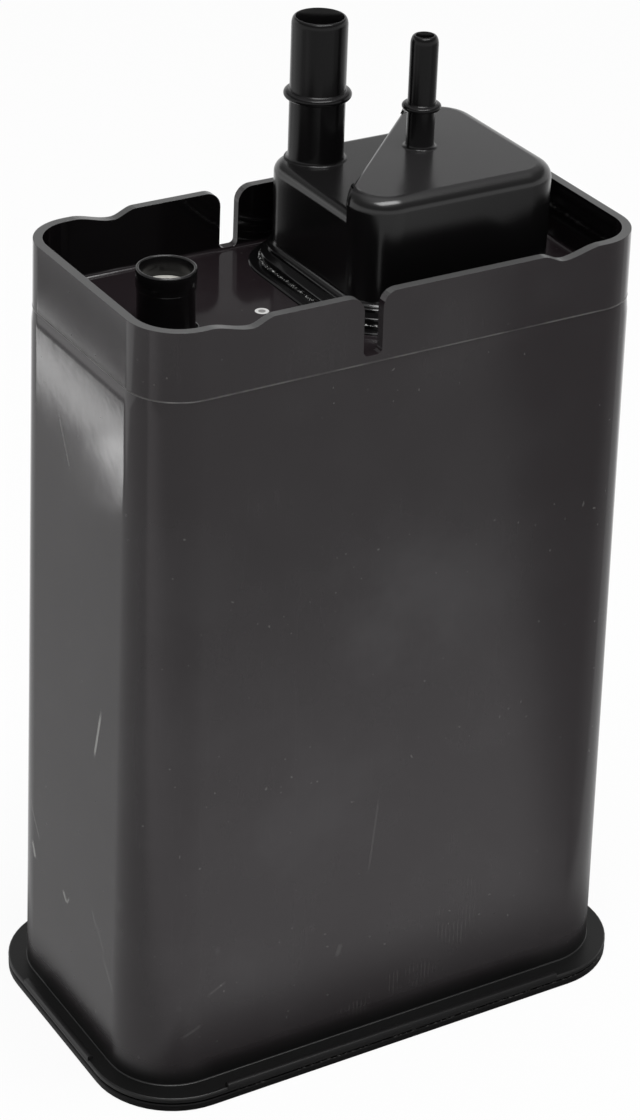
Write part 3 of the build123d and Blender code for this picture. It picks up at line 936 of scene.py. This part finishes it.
studio = {
    "floor": 6.0,
    "floorColour": (0.86, 0.86, 0.86, 1.0),
    "glow": 0.93,             # how much of the floor's brightness, seen or mirrored, is its own
    "white": (1.0, 1.0, 1.0, 1.0),
    "mirrored": (0.60, 0.60, 0.60, 1.0),
    "mirroredAhead": (0.92, 0.90, 0.91, 1.0),
    "mirroredAside": (0.20, 0.20, 0.20, 1.0),
    # painted contact shadow: mirrored level of the floor close round the foot
    "mirroredContactShadow": (0.08, 0.08, 0.08, 1.0),
    "mirroredFar": (0.36, 0.36, 0.36, 1.0),    # behind on the left, past the strip lamp
    "farStart": -301.0,
    "farEnd": -346.0,
    "paintedContactShadow": (10.0, 54.0),                  # painted contact shadow: the mirrored floor is darker close round the foot
    "world": 0.55,
    # mirrored brightness of the sky by height
    "sky": ((0.0, 1.0), (0.30, 1.0), (0.40, 0.20), (0.75, 0.30), (0.95, 1.0)),
}


def floorMaterial():
    graph = Graph(bpy.data.materials.new("floorPaper"))
    seen = graph.node("ShaderNodeLightPath", out="Is Camera Ray")
    mirrored = graph.node("ShaderNodeLightPath", out="Is Glossy Ray")
    paper = graph.node("ShaderNodeBsdfDiffuse", None, {"Color": studio["floorColour"]})
    x, y, z = graph.places()[1]
    start, end, full = studio["farStart"], studio["farEnd"], studio["white"]
    behind = y.fade(250.0, 300.0)
    far = x.fade(start - 3.0, start, 1.0, 0.0) * behind * x.fade(end, end + 15.0)
    level = graph.blend(y.fade(60.0, 200.0) * x.fade(-100.0, 0.0), studio["mirrored"], full)
    level = graph.blend(far, level, studio["mirroredFar"])
    level = graph.blend(x.fade(-342.0, -356.0) * behind, level, full)
    ahead = y.fade(-50.0, -110.0) * y.fade(-360.0, -130.0)
    level = graph.blend(ahead, level, studio["mirroredAhead"])
    aside = (x + y * 0.605).fade(22.0, 52.0) * y.fade(-60.0, -90.0)
    level = graph.blend(aside * 0.7, level, studio["mirroredAside"])
    # painted contact shadow: the floor's mirrored brightness falls close round the footprint
    beyondX = (x.size() - 75.0).most(0.0) * x.fade(0.0, -40.0, 1.0, 2.4)
    beyondY = (y.size() - 40.0).most(0.0)
    beyond = (beyondX * beyondX + beyondY * beyondY).power(0.5)
    level = graph.blend(beyond.fade(*studio["paintedContactShadow"]), studio["mirroredContactShadow"], level)
    level = graph.blend(seen, level, full)
    white = graph.node("ShaderNodeEmission", None, {"Color": level, "Strength": 1.0})
    share = seen.most(mirrored) * studio["glow"]
    mixed = graph.node("ShaderNodeMixShader", None, {0: share, 1: paper, 2: white})
    graph.node("ShaderNodeOutputMaterial", None, {"Surface": mixed})
    return graph.owner


def makeFloor():
    bm = bmesh.new()
    bmesh.ops.create_grid(bm, x_segments=1, y_segments=1, size=studio["floor"] / 2)
    mesh = bpy.data.meshes.new("floor")
    bm.to_mesh(mesh)
    bm.free()
    mesh.materials.append(floorMaterial())
    floor = bpy.data.objects.new("floor", mesh)
    bpy.context.scene.collection.objects.link(floor)


def makeWorld():
    world = bpy.data.worlds.new("studioWorld")
    bpy.context.scene.world = world
    graph = Graph(world)
    seen = graph.node("ShaderNodeLightPath", out="Is Camera Ray")
    mirrored = graph.node("ShaderNodeLightPath", out="Is Glossy Ray")
    height = graph.split(graph.node("ShaderNodeTexCoord", out="Generated"))[2]
    stops = [(place, (level, level, level)) for place, level in studio["sky"]]
    sky = graph.node("ShaderNodeValToRGB", {"stops": stops}, {0: height})
    values = {"Color": studio["white"], "Strength": studio["world"]}
    soft = graph.node("ShaderNodeBackground", None, values)
    bright = graph.node("ShaderNodeBackground", None, {"Color": sky})
    mixed = graph.node("ShaderNodeMixShader", None, {0: seen.most(mirrored), 1: soft, 2: bright})
    graph.node("ShaderNodeOutputWorld", None, {"Surface": mixed})


lamps = {
    "keyTop": {"at": (0.02, -0.24, 1.30), "aim": (0, -0.05, 0.25), "size": (0.86, 0.42), "power": 10.0},
    "leftLow": {
        "at": (-0.2845, 0.398, 0.003), "aim": (-0.2845, 0.388, 1.0), "size": (0.023, 0.184), "power": 0.030,
    },
    "leftNear": {
        "at": (-0.2690, 0.322, 0.004), "aim": (-0.2663, 0.3124, 1.0), "size": (0.013, 0.060), "power": 0.0051,
    },
    "backLeft": {"at": (-0.665, 1.04, 0.74), "aim": (0, 0, 0.2), "size": (0.5, 0.3), "power": 0.25},
}


def makeLamps():
    for name, facts in lamps.items():
        data = bpy.data.lights.new(name, "AREA")
        data.shape = "RECTANGLE"
        data.size, data.size_y = facts["size"]
        data.energy = facts["power"]
        lamp = bpy.data.objects.new(name, data)
        lamp.location = facts["at"]
        toward = Vector(facts["aim"]) - Vector(facts["at"])
        lamp.rotation_mode = "QUATERNION"
        lamp.rotation_quaternion = toward.to_track_quat("-Z", "Y")
        bpy.context.scene.collection.objects.link(lamp)


camera = {
    "place": (-0.42313, -0.69348, 0.59476),
    "yaw": 31.322,
    "pitch": 29.197,
    "roll": 2.079,
    "lens": 102.24,
}


def makeCamera():
    data = bpy.data.cameras.new("camera")
    data.sensor_width = 36.0
    data.lens = camera["lens"]
    data.clip_start = 0.01
    seen = bpy.data.objects.new("camera", data)
    turn = Matrix.Rotation(math.radians(-camera["yaw"]), 4, "Z")
    turn = turn @ Matrix.Rotation(math.radians(90 - camera["pitch"]), 4, "X")
    turn = turn @ Matrix.Rotation(math.radians(camera["roll"]), 4, "Z")
    seen.matrix_world = Matrix.Translation(camera["place"]) @ turn
    bpy.context.scene.collection.objects.link(seen)
    bpy.context.scene.camera = seen


makeFloor()
makeWorld()
makeLamps()
makeCamera()
bpy.context.scene.view_settings.view_transform = "Standard"
print("stage set")
